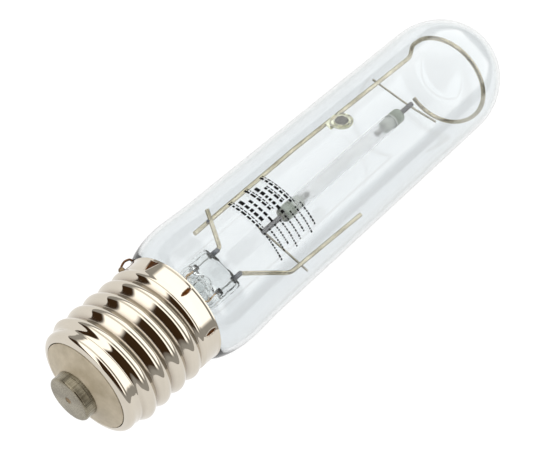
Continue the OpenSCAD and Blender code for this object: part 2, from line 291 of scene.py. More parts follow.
def metal(name, dark, light, smooth, rough, streak=(2600, 160, 160)):
    """Drawn or rolled metal: streaks run where the streak scale is low."""
    n = Nodes(name)
    streaks = n.noise(n.place(streak), 1.0, 6.0, 0.6)
    clouds = n.noise(n.place(), 140.0, 5.0)
    mixed = n.calc("MULTIPLY", n.calc("ADD", streaks, clouds), 0.5)
    n.set(
        Base_Color=n.ramp(mixed, [(0.35, dark), (0.62, light)]),
        Metallic=1.0,
        Roughness=n.spread(mixed, smooth, rough),
        Normal=n.bump(streaks, 0.002 * MM),
    )
    return n.material


def matt(name, dark, light, rough=0.6, scale=900.0, specular=0.5):
    """Unpolished mineral or powder surface."""
    n = Nodes(name)
    grain = n.noise(n.place(), scale, 6.0, 0.6)
    n.set(
        Base_Color=n.ramp(grain, [(0.3, dark), (0.7, light)]),
        Roughness=n.spread(grain, rough - 0.08, rough + 0.08),
        Specular_IOR_Level=specular,
        Normal=n.bump(grain, 0.008 * MM),
    )
    return n.material


def glass(name, tint, ripple=0.003 * MM, ripple_scale=35.0, edge=0.62):
    """Clear blown glass, a little wavy, and darker and greener where it is seen edge on: the green is
    the glass's own tint, the darkening is painted shade.
    """
    n = Nodes(name)
    waves = n.noise(n.place((0.25, 1, 1)), ripple_scale, 2.0, 0.4)
    # Edge on, the tint darkens as painted shade and turns a little greener, the glass's own colour.
    facing = n.add("ShaderNodeLayerWeight", {"Blend": 0.5}).outputs["Facing"]
    red, green, blue = tone(tint, edge)
    n.set(
        Base_Color=n.ramp(facing, [(0.0, tint), (0.62, tint), (0.93, (red, 1.03 * green, blue))]),
        Roughness=0.0,
        IOR=1.47,
        Transmission_Weight=1.0,
        Normal=n.bump(waves, ripple),
    )
    return n.material


def ceramic_tube(name):
    """Translucent alumina: most light goes straight through, the rest is scattered."""
    n = Nodes(name)
    grain = n.noise(n.place(), 700.0, 4.0)
    n.set(
        Base_Color=n.ramp(grain, [(0.3, (0.90, 0.92, 0.92)), (0.7, (0.97, 0.98, 0.98))]),
        Roughness=n.spread(grain, 0.3, 0.4),
        Subsurface_Weight=1.0,
        Subsurface_Radius=(1.0, 1.0, 1.0),
        Subsurface_Scale=2 * MM,
        Alpha=0.12,
    )
    return n.material


# Where the plugs start and end, measured from the middle of the arc tube.
PLUG_TIP, PLUG_FACE = 23.5 * MM, 33 * MM


def plug_material(name):
    """End plugs: dark green-grey flanges outside, and paler spigots towards the arc. Each flange also
    has a lighter band, a painted highlight, and a near-black outer end, painted shade.
    """
    n = Nodes(name)
    grain = n.noise(n.place(), 600.0)
    tube_low, tube_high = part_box("arc_tube")
    middle = float((tube_low[0] + tube_high[0]) / 2)
    reach = n.calc("ABSOLUTE", n.calc("SUBTRACT", n.along_lamp(), middle))
    # Along the flange the colour rises to a lighter band, a painted highlight, and falls to near black
    # at the outer face, painted shade.
    zones = n.ramp(n.share(reach, PLUG_TIP, PLUG_FACE), [
        (0.0, (0.56, 0.60, 0.55)), (0.45, (0.66, 0.70, 0.66)), (0.55, (0.20, 0.24, 0.18)),
        (0.85, (0.36, 0.42, 0.35)), (1.0, (0.05, 0.07, 0.04)),
    ])
    n.set(
        Base_Color=zones,
        Roughness=n.spread(grain, 0.25, 0.45),
        Normal=n.bump(grain, 0.005 * MM),
    )
    return n.material


# The hook-up wire turns from burnt brown to orange oxide between these two stations.
BURNT_END, OXIDE_START = 46.6 * MM, 47.6 * MM
# Stretch of the lead-through wires, from their lower end to the top of the press.
SEAL_START, SEAL_END = 54 * MM, 68 * MM
COLLAR_BLACK, SEAL_FOOT_BLACK = (0.004, 0.004, 0.004), (0.01, 0.012, 0.01)
# Noise scale that draws fine streaks along a thin wire.
FINE_DRAWN = (300, 2400, 2400)


def hookup_metal(name):
    """Hook-up wire: burnt brown where it crosses the rim, orange oxide inside the glass."""
    n = Nodes(name)
    grain = n.noise(n.place(FINE_DRAWN), 1.0)
    inside = n.share(n.along_lamp(), BURNT_END, OXIDE_START)
    n.set(
        Base_Color=n.ramp(inside, [(0.0, (0.13, 0.055, 0.02)), (1.0, (0.60, 0.31, 0.07))]),
        Metallic=n.spread(grain, 0.6, 0.9),
        Roughness=n.spread(grain, 0.25, 0.4),
        Normal=n.bump(grain, 0.003 * MM),
    )
    return n.material


def seal_metal(name):
    """Lead-through wire: orange oxide below the press, a black collar, then grey in the glass."""
    n = Nodes(name)
    grain = n.noise(n.place(FINE_DRAWN), 1.0)
    zones = n.ramp(n.share(n.along_lamp(), SEAL_START, SEAL_END), [
        (0.0, (0.55, 0.27, 0.05)), (0.36, (0.62, 0.33, 0.07)), (0.39, COLLAR_BLACK),
        (0.50, COLLAR_BLACK), (0.52, (0.55, 0.57, 0.56)), (0.87, (0.50, 0.52, 0.51)),
        (0.875, SEAL_FOOT_BLACK),
    ])
    n.set(
        Base_Color=zones,
        Metallic=n.spread(grain, 0.5, 0.8),
        Roughness=n.spread(grain, 0.3, 0.45),
        Specular_IOR_Level=0.1,
        Normal=n.bump(grain, 0.003 * MM),
    )
    return n.material


def cap_metal(name, bright, burnt):
    """Polished nickel plate, rougher and with brown painted shade where the shell's shade attribute is
    set.
    """
    n = Nodes(name)
    grain = n.noise(n.place((500, 60, 60)), 1.0, 4.0)
    shade_mark = n.add("ShaderNodeAttribute", attribute_name="painted_shade").outputs["Fac"]
    plate = n.ramp(grain, [(0.3, tone(bright, 0.93)), (0.7, bright)])
    # Brown painted shade for the stabs' dents and the thread's roots.
    shade_colour = n.ramp(n.noise(n.place(), 1500.0), [(0.35, tone(burnt, 0.35)), (0.65, burnt)])
    mix = n.add("ShaderNodeMix", {"Factor": shade_mark, "A": plate, "B": shade_colour}, data_type="RGBA")
    dulled = n.add("ShaderNodeMapRange", {"Value": shade_mark, "To Min": 0.045, "To Max": 0.5})
    n.set(
        Base_Color=mix.outputs["Result"],
        Metallic=1.0,
        Roughness=dulled.outputs[0],
        Normal=n.bump(grain, 0.0015 * MM),
    )
    return n.material


MATERIALS = {
    # Its second colour is the brown painted shade for the stabs and the thread's roots.
    "cap_nickel": cap_metal("cap_nickel", (0.60, 0.55, 0.47), (0.12, 0.045, 0.012)),
    "contact_nickel": metal("contact_nickel", (0.12, 0.10, 0.065), (0.32, 0.29, 0.22), 0.18, 0.34,
                            (220, 2200, 2200)),
    "vitrite": matt("vitrite", (0.36, 0.30, 0.20), (0.56, 0.49, 0.37), 0.5, 160.0),
    "solder": metal("solder", (0.10, 0.06, 0.03), (0.30, 0.22, 0.14), 0.22, 0.45, (700, 700, 700)),
    "hookup_wire": hookup_metal("hookup_wire"),
    "clear_glass": glass("clear_glass", (0.845, 0.868, 0.880)),
    "stem_glass": glass("stem_glass", (0.95, 0.965, 0.96), 0.02 * MM, 160.0, 0.8),
    "seal_wire": seal_metal("seal_wire"),
    "weld_grey": metal("weld_grey", (0.04, 0.045, 0.06), (0.17, 0.185, 0.21), 0.3, 0.5),
    "frame_nickel": metal("frame_nickel", (0.22, 0.19, 0.12), (0.60, 0.55, 0.42), 0.12, 0.24,
                          (200, 2600, 2600)),
    "strap_nickel": metal("strap_nickel", (0.28, 0.25, 0.18), (0.50, 0.47, 0.38), 0.2, 0.36),
    "alumina": ceramic_tube("alumina"),
    "plug_ceramic": plug_material("plug_ceramic"),
    "frit_glass": matt("frit_glass", (0.10, 0.12, 0.08), (0.22, 0.24, 0.18), 0.4),
    "niobium": metal("niobium", (0.06, 0.06, 0.065), (0.15, 0.15, 0.16), 0.35, 0.5),
    "tungsten": metal("tungsten", (0.34, 0.35, 0.35), (0.60, 0.61, 0.61), 0.3, 0.5),
    "amalgam": metal("amalgam", (0.4, 0.4, 0.4), (0.7, 0.7, 0.7), 0.1, 0.3),
    "getter_steel": metal("getter_steel", (0.50, 0.50, 0.34), (0.80, 0.79, 0.66), 0.12, 0.28),
    "getter_powder": matt("getter_powder", (0.035, 0.035, 0.028), (0.13, 0.12, 0.10), 0.55),
    "marking_ink": matt("marking_ink", (0.002, 0.002, 0.002), (0.008, 0.008, 0.009), 0.7,
                        specular=0.1),
}


# ------------------------------------------------------------------- screw cap

SHELL_LOW, SHELL_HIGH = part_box("cap_shell")
CONTACT_LOW, CONTACT_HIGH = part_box("centre_contact")
INSULATOR_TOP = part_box("cap_insulator")[1][0]
RIM_X, LIP_X = SHELL_HIGH[0], SHELL_LOW[0]
SKIRT_R, RIM_R, RIM_FLARE = 19.1 * MM, 19.35 * MM, 1 * MM
SKIN = 0.45 * MM
SHELL_SIDES, LIP_RINGS, SHELL_RINGS = 540, 18, 260
# Thread. Its crests stay just inside the shell's box. The wave is part cosine and part
# knuckle, and the knuckle's roots are slightly rounded.
CREST_R = SHELL_HIGH[1] - 0.02 * MM
THREAD_DEPTH, PITCH, FIRST_CREST = 1.8 * MM, 6.35 * MM, 18.95 * MM
THREAD_START, THREAD_END, THREAD_RUN = 10.2 * MM, 39.5 * MM, 3 * MM
MEAN_R = CREST_R - THREAD_DEPTH / 2
CREST_MIX, ROOT_ROUND = 0.25, 0.008
# Rolled lip round the insulator, and the shallow dip between the lip and the thread.
LIP_R = 15.7 * MM
BEAD_X, BEAD_TOP_R, DIP_X, DIP_R = 8.9 * MM, 18.05 * MM, 10.8 * MM, 17.87 * MM
# Stabs pressed into the skirt. One of them is wider than the others.
STABS, STAB_WIDE, STAB_FIRST = 8, 1, math.radians(3.5)
STAB_FOOT, STAB_TOP = RIM_X - 5.0 * MM, RIM_X - 0.6 * MM
STAB_HALF, STAB_DEPTH = 0.75 * MM, 0.3 * MM
# Share of a stab's depth that gets the full painted shade, and how strong the painted shade in the
# thread's roots is.
STAB_SHADE_FULL, ROOT_SHADE = 0.35, 0.45
EYELET_R, CONTACT_SKIN = 1.15 * MM, 0.6 * MM
INSULATOR_STEP, INSULATOR_GAP = 0.15 * MM, 0.3 * MM


def cap_base(x):
    """Radius of the cap without its thread: rolled lip, dip, thread's middle, skirt, rim."""
    if x < BEAD_X:
        return LIP_R + (BEAD_TOP_R - LIP_R) * math.sqrt(
            max(0.0, 1 - (1 - (x - LIP_X) / (BEAD_X - LIP_X)) ** 2))
    dip = BEAD_TOP_R + (DIP_R - BEAD_TOP_R) * float(ease((x - BEAD_X) / (DIP_X - BEAD_X)))
    swell = float(ease((x - DIP_X) / (THREAD_START + THREAD_RUN - DIP_X)))
    flare = (RIM_R - SKIRT_R) * max(0.0, (x - RIM_X + RIM_FLARE) / RIM_FLARE) ** 2
    rise = float(ease((x - THREAD_END + 2 * THREAD_RUN) / (2 * THREAD_RUN)))
    mean = dip + (MEAN_R - DIP_R) * swell
    return mean + (SKIRT_R - MEAN_R) * rise + flare


def stab_depth(x, angles):
    """Depth pressed into the skirt by the leaf-shaped stabs, as a share of the deepest."""
    along = np.clip((x - STAB_FOOT) / (STAB_TOP - STAB_FOOT), 0.0, 1.0)
    leaf = STAB_HALF * (4 * along * (1 - along)) ** 0.8
    wide = STAB_HALF * (0.25 + 2.4 * along) * (along > 0) * (along < 1)
    depth = np.zeros_like(angles)
    for i in range(STABS):
        half = np.maximum(wide if i == STAB_WIDE else leaf, 1e-9) / SKIRT_R
        gap = np.abs((angles - STAB_FIRST - i * TAU / STABS + math.pi) % TAU - math.pi)
        depth = depth + np.clip(1 - gap / half, 0, 1) ** 0.6
    return depth


def thread_wave(phase):
    """Knuckle thread from -1 to 1: broad round crests that meet in narrow roots."""
    knuckle = 2 * np.sqrt(np.cos(phase / 2) ** 2 + ROOT_ROUND) - 1
    return CREST_MIX * np.cos(phase) + (1 - CREST_MIX) * knuckle


def thread_fade(x):
    """The thread's height along the cap, from 0 at its ends to 1."""
    return ease((x - THREAD_START) / THREAD_RUN) * ease((THREAD_END - x) / THREAD_RUN)


def thread_phase(x, angles):
    """Angle of the thread's wave, 0 at a crest."""
    return TAU * (x - FIRST_CREST) / PITCH - angles


def shell_rings(inset):
    """Rings of one face of the sheet, inset from the outside."""
    angles = around(SHELL_SIDES)
    xs = spans(LIP_X, BEAD_X, LIP_RINGS)[:-1] + spans(BEAD_X, RIM_X, SHELL_RINGS)
    rings = []
    for x in xs:
        wave = thread_fade(x) * THREAD_DEPTH / 2 * thread_wave(thread_phase(x, angles))
        r = cap_base(x) + wave - STAB_DEPTH * stab_depth(x, angles)
        r = np.maximum(r - inset, LIP_R - inset / 3)
        shift = inset if x < BEAD_X else 0.0
        rings.append(axis_ring(x + shift, r, angles))
    return np.array(rings)


def add_painted_shade(mesh):
    """Marks where brown painted shade goes: full in the stabs' dents, fainter in the thread's roots."""
    points = np.empty(len(mesh.vertices) * 3)
    mesh.vertices.foreach_get("co", points)
    x, y, z = points.reshape(-1, 3).T
    angles = np.arctan2(z, y) % TAU
    # Painted shade fills the stabs' dents and, fainter, the thread's roots.
    burnt = ease(stab_depth(x, angles) / STAB_SHADE_FULL)
    root = thread_fade(x) * (1 - thread_wave(thread_phase(x, angles))) / 2
    shade_mark = np.maximum(burnt, ROOT_SHADE * np.clip(root, 0, 1) ** 4)
    colours = np.ones((len(shade_mark), 4))
    colours[:, :3] = shade_mark[:, None]
    layer = mesh.color_attributes.new("painted_shade", "FLOAT_COLOR", "POINT")
    layer.data.foreach_set("color", colours.ravel())


def build_shell():
    """Sheet-metal shell: both faces of the sheet, joined at the lip and the rim."""
    rings = np.concatenate([shell_rings(0.0), shell_rings(SKIN)[::-1]])
    mesh = skin_mesh("cap_shell_skin", [(rings, True)])
    add_painted_shade(mesh)
    piece("cap_shell_skin", mesh, MATERIALS["cap_nickel"], ["cap_shell"], 50)


def build_insulator():
    """Moulded disc, crowned between the contact and the shell's lip."""
    low, top = CONTACT_HIGH[0], INSULATOR_TOP
    inner, edge = CONTACT_HIGH[1] + 0.55 * MM, LIP_R - INSULATOR_GAP
    seat = CONTACT_LOW[0] + CONTACT_SKIN
    inside = CONTACT_HIGH[1] - CONTACT_SKIN
    profile = [
        (seat, EYELET_R), (seat, inside), (low, inside),
        (low, inner - 0.2 * MM), (low + INSULATOR_STEP, inner),
    ]
    for t in spans(0.04, 1, 16):
        x = low + INSULATOR_STEP + (LIP_X - low - 0.35 * MM) * t ** 0.62
        profile.append((x, inner + (edge - inner) * t))
    profile += [(LIP_X + 0.1 * MM, edge), (top, edge), (top, EYELET_R)]
    lathe("insulator_disc", profile, MATERIALS["vitrite"], ["cap_insulator"])


def build_contact():
    """Metal cup with a rounded edge and a fine groove near its foot."""
    r, top = CONTACT_HIGH[1], CONTACT_HIGH[0]
    edge, groove, groove_half, groove_depth = 0.75 * MM, top - 1.0 * MM, 0.1 * MM, 0.12 * MM
    profile = [(0.0, 1.3 * MM), (0.0, r - edge)]
    for degrees in spans(10, 90, 9):
        a = math.radians(degrees)
        profile.append((edge * (1 - math.cos(a)), r - edge + edge * math.sin(a)))
    profile += [(groove - groove_half, r), (groove, r - groove_depth), (groove + groove_half, r)]
    profile += [(top, r), (top, r - CONTACT_SKIN), (CONTACT_SKIN, r - CONTACT_SKIN)]
    profile += [(CONTACT_SKIN, EYELET_R), (0.15 * MM, EYELET_R)]
    lathe("contact_cup", profile, MATERIALS["contact_nickel"],
          ["centre_contact"])


def build_solder():
    """Solder in the eyelet, sunk in the middle."""
    profile = [(0.45 * MM, 0.0), (0.4 * MM, 0.5 * MM), (0.2 * MM, 0.9 * MM), (0.12 * MM, 1.1 * MM),
               (0.3 * MM, EYELET_R), (2.2 * MM, EYELET_R), (2.4 * MM, 0.0)]
    lathe("eyelet_solder", profile, MATERIALS["solder"], ["contact_solder"], 48)


# ------------------------------------------------------------------------ glass

BULB_LOW, BULB_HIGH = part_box("outer_bulb")
GLASS_WALL = 1.2 * MM
# Radii of the bulb at its neck, at the cap's rim, at the widest of the shoulder and along
# the tube, and the stations where the neck, the shoulder and the tube begin.
NECK_R, MOUTH_R, SHOULDER_R, TUBE_R = 17.2 * MM, 18.3 * MM, BULB_HIGH[1], 22.6 * MM
FLARE_X, SHOULDER_PEAK_X, TUBE_X = 37 * MM, 60 * MM, 72 * MM
DOME_H = 24.3 * MM
DOME_X = BULB_HIGH[0] - DOME_H


def bulb_r(x):
    """Outside radius of the bulb from the neck to the foot of the dome."""
    if x < RIM_X:
        return NECK_R + (MOUTH_R - NECK_R) * float(ease((x - FLARE_X) / (RIM_X - FLARE_X)))
    if x < SHOULDER_PEAK_X:
        t = (SHOULDER_PEAK_X - x) / (SHOULDER_PEAK_X - RIM_X)
        return MOUTH_R + (SHOULDER_R - MOUTH_R) * math.sqrt(max(0.0, 1 - t * t))
    return TUBE_R + (SHOULDER_R - TUBE_R) * float(ease((TUBE_X - x) / (TUBE_X - SHOULDER_PEAK_X)))


def bulb_outline(inset):
    """The bulb's outline from neck to dome, inset from the outside."""
    xs = [BULB_LOW[0], FLARE_X] + spans(FLARE_X, RIM_X, 6)[1:]
    for a in spans(0, math.pi / 2, 20)[1:]:
        xs.append(RIM_X + (SHOULDER_PEAK_X - RIM_X) * (1 - math.cos(a)))
    xs += spans(SHOULDER_PEAK_X, TUBE_X, 8)[1:] + spans(TUBE_X, DOME_X, 12)[1:]
    outline = [(x, bulb_r(x) - inset) for x in xs]
    for a in spans(0, math.pi / 2, 36)[1:]:
        outline.append((DOME_X + (DOME_H - inset) * math.sin(a), (TUBE_R - inset) * math.cos(a)))
    return outline


def build_bulb():
    """Blown outer bulb, hollow, with a wall of even thickness."""
    outline = bulb_outline(0.0) + bulb_outline(GLASS_WALL)[::-1]
    lathe("bulb_glass", outline, MATERIALS["clear_glass"], ["outer_bulb"], 192)


# Stem: a flared foot inside the neck, a tube, and a press that is flat but for a round
# bead about each of the two lead-through wires.
STEM_LOW, STEM_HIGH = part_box("stem_glass")
STEM_R, STEM_WALL, STEM_BORE_MIN = 8.4 * MM, 0.9 * MM, 0.3 * MM
FOOT_TOP, BORE_TOP, SQUEEZE_X = 30 * MM, 33 * MM, 52 * MM
PRESS_LOW, PRESS_HIGH = 60.3 * MM, 68 * MM
SLAB_HALF, SLAB_REACH, BEAD_R, LEAD_Y = 1.35 * MM, 8.3 * MM, 2.3 * MM, 5.25 * MM
# The press is rounded off over the last stretch to a share of its section. Its waves are a
# share of its radius high, and run at a rate in radians per millimetre.
PRESS_ROUND, PRESS_END_SHARE, PRESS_WAVE, PRESS_WAVE_RATE = 1.2 * MM, 0.55, 0.04, 1.9
STEM_ANGLES = around(160)


def press_section(angles):
    """Radius of the pressed stem's outline: a slab with a round bead around each wire."""
    c, s = np.abs(np.cos(angles)), np.abs(np.sin(angles))
    slab = np.minimum(SLAB_HALF / np.maximum(s, 1e-6), SLAB_REACH / np.maximum(c, 1e-6))
    reach = BEAD_R ** 2 - (LEAD_Y * s) ** 2
    bead = np.where(reach > 0, LEAD_Y * c + np.sqrt(np.maximum(reach, 0)), 0)
    return np.maximum(np.minimum(slab, SLAB_REACH), bead)


def stem_r(x):
    """Outside radius of the stem below the press, for each of its angles."""
    if x < FOOT_TOP:
        share = float(ease((x - STEM_LOW[0]) / (FOOT_TOP - STEM_LOW[0])))
        return np.full(len(STEM_ANGLES), STEM_HIGH[1] + (STEM_R - STEM_HIGH[1]) * share)
    flattened = float(ease((x - SQUEEZE_X) / (PRESS_LOW - SQUEEZE_X)))
    return STEM_R + (press_section(STEM_ANGLES) - STEM_R) * flattened


def press_r(x):
    """Outside radius of the press: slightly wavy, and rounded off at its end."""
    swell = 1 + PRESS_WAVE * math.sin((x - PRESS_LOW) / MM * PRESS_WAVE_RATE)
    past = max(0.0, (x - STEM_HIGH[0] + PRESS_ROUND) / PRESS_ROUND)
    end = math.sqrt(max(0.0, 1 - past ** 2))
    return press_section(STEM_ANGLES) * min(1.0, swell) * max(PRESS_END_SHARE, end)


def stem_rings():
    """Rings of the stem's outside from foot to press, and of its bore back to the foot."""
    outer, bore = [], []
    for x in spans(STEM_LOW[0], FOOT_TOP, 8) + spans(BORE_TOP, PRESS_LOW + 0.5 * MM, 30):
        outer.append(axis_ring(x, stem_r(x), STEM_ANGLES))
    for x in spans(PRESS_LOW + 1 * MM, STEM_HIGH[0], 12):
        outer.append(axis_ring(x, press_r(x), STEM_ANGLES))
    for x in spans(PRESS_LOW - 0.6 * MM, BORE_TOP, 26) + spans(FOOT_TOP, STEM_LOW[0], 8):
        bore.append(axis_ring(x, np.maximum(stem_r(x) - STEM_WALL, STEM_BORE_MIN), STEM_ANGLES))
    return outer, bore


def build_stem():
    """Stem glass. Its bore is closed at the press and open at the foot."""
    mesh = bpy.data.meshes.new("stem_press")
    bm = bmesh.new()
    outer, bore = [[[bm.verts.new(p) for p in ring] for ring in stack] for stack in stem_rings()]
    for stack in (outer, bore):
        for low, high in zip(stack, stack[1:]):
            band(bm, low, high)
    bm.faces.new(outer[-1])
    bm.faces.new(bore[0])
    band(bm, bore[-1], outer[0])
    bmesh.ops.recalc_face_normals(bm, faces=bm.faces)
    bm.to_mesh(mesh)
    bm.free()
    piece("stem_press", mesh, MATERIALS["stem_glass"], ["stem_glass"], 60)


def build_exhaust():
    """Exhaust tube in the stem, with its sealed tip towards the contact."""
    low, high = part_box("exhaust_tube")
    r, wall, tip, tip_wall, lip = high[1], 0.8 * MM, 3 * MM, 1 * MM, 0.4 * MM
    profile = [(low[0], 0.0)]
    for degrees in spans(15, 90, 6):
        a = math.radians(degrees)
        profile.append((low[0] + tip * (1 - math.cos(a)), r * math.sin(a)))
    profile += [(high[0] - lip, r), (high[0], r - wall / 2), (high[0] - lip, r - wall)]
    for degrees in spans(90, 0, 7):
        a = math.radians(degrees)
        profile.append((low[0] + tip_wall + tip * (1 - math.cos(a)), (r - wall) * math.sin(a)))
    lathe("exhaust_tip", profile, MATERIALS["stem_glass"], ["exhaust_tube"], 48)


# ------------------------------------------------------------------------ wires

ROD_R, LEAD_R, STRAP_R, HOOKUP_R, SEAL_R = 0.8 * MM, 0.75 * MM, 0.4 * MM, 0.3 * MM, 0.55 * MM
SIDE_R, WELD_R = 0.38 * MM, 0.85 * MM
HOOKUP_START = PRESS_LOW - 5 * MM
WELD_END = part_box("ferrule_long")[1][0]
RING_R = 17.3 * MM
RING_CENTRE = Vector((BULB_HIGH[0] - 22.35 * MM, -1 * MM, -0.1 * MM))
RING_FROM, RING_SWEEP, RING_LEAN = math.radians(9), math.radians(276), math.radians(3.1)
# The rod is bent towards the ring's point at the first of these angles past its start, and
# is one with the ring from the second. Both are in radians.
RING_AIM, RING_JOIN = 0.35, 0.3


def mm_points(*points):
    """Points given in millimetres."""
    return [Vector(p) * MM for p in points]


def rim_points(*points):
    """Points near the cap's rim, from (x past the rim, radius, y past that radius, z).
    All but the radius are in millimetres."""
    return [Vector((RIM_X + x * MM, r + y * MM, z * MM)) for x, r, y, z in points]


def ring_point(angle):
    """Point on the dome ring, which leans a little along the axis."""
    flat = Vector((0, math.cos(angle), math.sin(angle))) * RING_R
    return RING_CENTRE + Vector((flat.z * math.sin(RING_LEAN), flat.y, flat.z * math.cos(RING_LEAN)))


def build_frame_wire():
    """The long rod and the dome ring are one wire: kinked, then bent round."""
    kink = Vector((BULB_HIGH[0] - 24.6 * MM, 13.6 * MM, 0))
    foot = mm_points((69, 14.2, 0), (120, 14.75, 0))
    start = ring_point(RING_FROM)
    rod = rounded(foot + [kink, start, ring_point(RING_FROM + RING_AIM)], 2.2 * MM)[:-1]
    hoop = [ring_point(RING_FROM + a) for a in spans(RING_JOIN, RING_SWEEP, 91)]
    wire("frame_wire", rod + hoop, ROD_R, MATERIALS["frame_nickel"],
         ["support_rod", "dome_ring"], 24)


def build_leads():
    """The two bent leads that stand on the lead-through wires."""
    leg = [Vector((WELD_END, LEAD_Y, 0))] + mm_points((72, 5.6, 0), (77.4, 17.4, 1.55))
    short = [Vector((WELD_END, -LEAD_Y, 0))] + mm_points((83.7, -15.8, 0), (119.8, -17.2, 0))
    for name, path, bend, node in (("leg_wire", leg, 1.4 * MM, "long_leg"),
                                   ("short_wire", short, 1.8 * MM, "short_lead")):
        wire(name, rounded(path, bend), LEAD_R, MATERIALS["frame_nickel"],
             [node], 24)


def build_straps():
    """Cross wires behind the frame that hold the ends of the arc tube."""
    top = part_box("upper_niobium")[1][0]
    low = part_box("lower_niobium")[0][0]
    z = -(ROD_R + STRAP_R)
    upper = [(top - 3.3 * MM, 16.3 * MM, z), (top - 0.4 * MM, 0, z), (top + 2.9 * MM, -10.6 * MM, z)]
    lower = [(low + 1 * MM, 2.4 * MM, z), (low + 1.8 * MM, -9 * MM, z), (low + 2.5 * MM, -19.1 * MM, z)]
    for side, path in (("upper", upper), ("lower", lower)):
        wire("strap_" + side, rounded(path, 6 * MM), STRAP_R, MATERIALS["strap_nickel"],
             [side + "_strap"], 16)


def build_seals():
    """Lead-through wires with a collar at each end of the press, and their welds above it."""
    collar = PRESS_LOW + 0.3 * MM
    # Start, end and radius of each stretch.
    stretches = (
        (PRESS_LOW - 6.5 * MM, collar - 0.6 * MM, SEAL_R),
        (collar - 0.8 * MM, collar + 0.4 * MM, 1.5 * SEAL_R),
        (collar + 0.2 * MM, PRESS_HIGH - 1.2 * MM, 0.3 * SEAL_R),
        (PRESS_HIGH - 1.8 * MM, PRESS_HIGH - 0.9 * MM, 1.3 * SEAL_R),
    )
    weld = (PRESS_HIGH - 1.4 * MM, PRESS_HIGH + 1.2 * MM, WELD_END + 0.3 * MM)
    for side, node in ((1, "long"), (-1, "short")):
        y = side * LEAD_Y
        shells = [(wire_rings([(start, y, 0), (end, y, 0)], r), False) for start, end, r in stretches]
        mesh = skin_mesh("seal_" + node, shells)
        piece("seal_" + node, mesh, MATERIALS["seal_wire"], ["seal_wire_" + node])
        wire("ferrule_" + node + "_weld", [(x, y, 0) for x in weld], WELD_R,
             MATERIALS["weld_grey"], ["ferrule_" + node])


def build_side_lead():
    """Thin wire from the long lead-through wire, round the neck and over the shell's rim."""
    neck = NECK_R - 0.2 * MM
    side = [Vector((HOOKUP_START, LEAD_Y, 0))] + mm_points((24, 5.25, 0), (17.4, 13, 0))
    side += [Vector((18.4 * MM, neck, 0)), Vector((FLARE_X, neck, 0))]
    side += rim_points(
        (-0.4, MOUTH_R, 0.35, 0), (1.4, RIM_R, 0.1, 0), (1.1, RIM_R, 1.5, 0.3),
        (-1.0, SKIRT_R, 2.3, 0.6), (-2.8, SKIRT_R, 1.7, 0.3), (-4.0, SKIRT_R, 0.7, 0),
    )
    wire("side_hookup", rounded(side, 1.2 * MM), SIDE_R, MATERIALS["hookup_wire"],
         ["side_lead"], 12)


def build_side_bead():
    """Solder bead on the skirt that holds the side lead, a little off the frame's plane."""
    outline = ((-4.9, 0.0), (-4.8, 0.5), (-4.4, 0.85), (-3.9, 0.95), (-3.4, 0.8), (-3.0, 0.45),
               (-2.9, 0.0))
    rings = turned([(RIM_X + x * MM, r * MM) for x, r in outline], 40)
    swell, outward, aside = 1.15, 0.55 * MM, 0.8 * MM
    rings[:, :, 1:] *= swell
    rings[:, :, 1] += SKIRT_R + outward
    rings[:, :, 2] += aside
    mesh = skin_mesh("side_bead", [(rings, False)])
    piece("side_bead", mesh, MATERIALS["solder"], ["side_weld"], 60)


def build_centre_lead():
    """Thin wire from the short lead-through wire down to the centre contact."""
    path = [Vector((HOOKUP_START, -LEAD_Y, 0))] + mm_points((26, -5.25, 0), (13, 0, 0), (1.2, 0, 0))
    wire("centre_hookup", rounded(path, 4 * MM), HOOKUP_R, MATERIALS["hookup_wire"],
         ["centre_lead"], 12)


# --------------------------------------------------------------------- arc tube

def build_arc_tube():
    """Ceramic tube with slightly chamfered ends, open for the plugs."""
    low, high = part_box("arc_tube")
    r = high[1]
    bore, chamfer, run = r - 0.55 * MM, 0.15 * MM, 0.2 * MM
    profile = [(low[0], bore), (low[0], r - chamfer), (low[0] + run, r),
               (high[0] - run, r), (high[0], r - chamfer), (high[0], bore)]
    lathe("arc_tube_wall", profile, MATERIALS["alumina"], ["arc_tube"], 64)


def build_coils():
    """Tungsten coils, wound on the electrodes from the plugs towards the arc."""
    turns, steps, wire_r = 6, 20, 0.28 * MM
    for node in ("upper", "lower"):
        low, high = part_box(node + "_coil")
        start, end = (high[0], low[0]) if node == "upper" else (low[0], high[0])
        reach = high[1] - wire_r
        count = turns * steps
        path = []
        for i in range(count + 1):
            a = i * TAU / steps
            path.append((start + (end - start) * i / count, reach * math.cos(a), reach * math.sin(a)))
        wire(node + "_coil_turns", path, wire_r, MATERIALS["tungsten"],
             [node + "_coil"], 10)


# ----------------------------------------------------------------------- getter

GETTER_AT = Vector((140.9, 10.9, 1.6)) * MM
GETTER_TILT = Matrix.Rotation(math.radians(-24.5), 4, "X")
GETTER_R, GETTER_INNER, GETTER_RISE, GETTER_SKIN = 4.15 * MM, 2.4 * MM, 1.1 * MM, 0.25 * MM
# Slots: where their middles lie and half of what they span, both in degrees.
GETTER_SLOTS, SLOT_REACH, SLOT_R, SLOT_HALF = (178, 232, 286), 3.4 * MM, 0.26 * MM, 13


def getter_point(r, angle, z):
    """Point on the getter from its own axis, which is tilted."""
    return GETTER_AT + GETTER_TILT @ Vector((r * math.cos(angle), r * math.sin(angle), z))


def getter_rings(profile, sides=64):
    """Rings of an outline turned about the getter's axis."""
    return np.array([[list(getter_point(r, a, z)) for a in around(sides)] for r, z in profile])


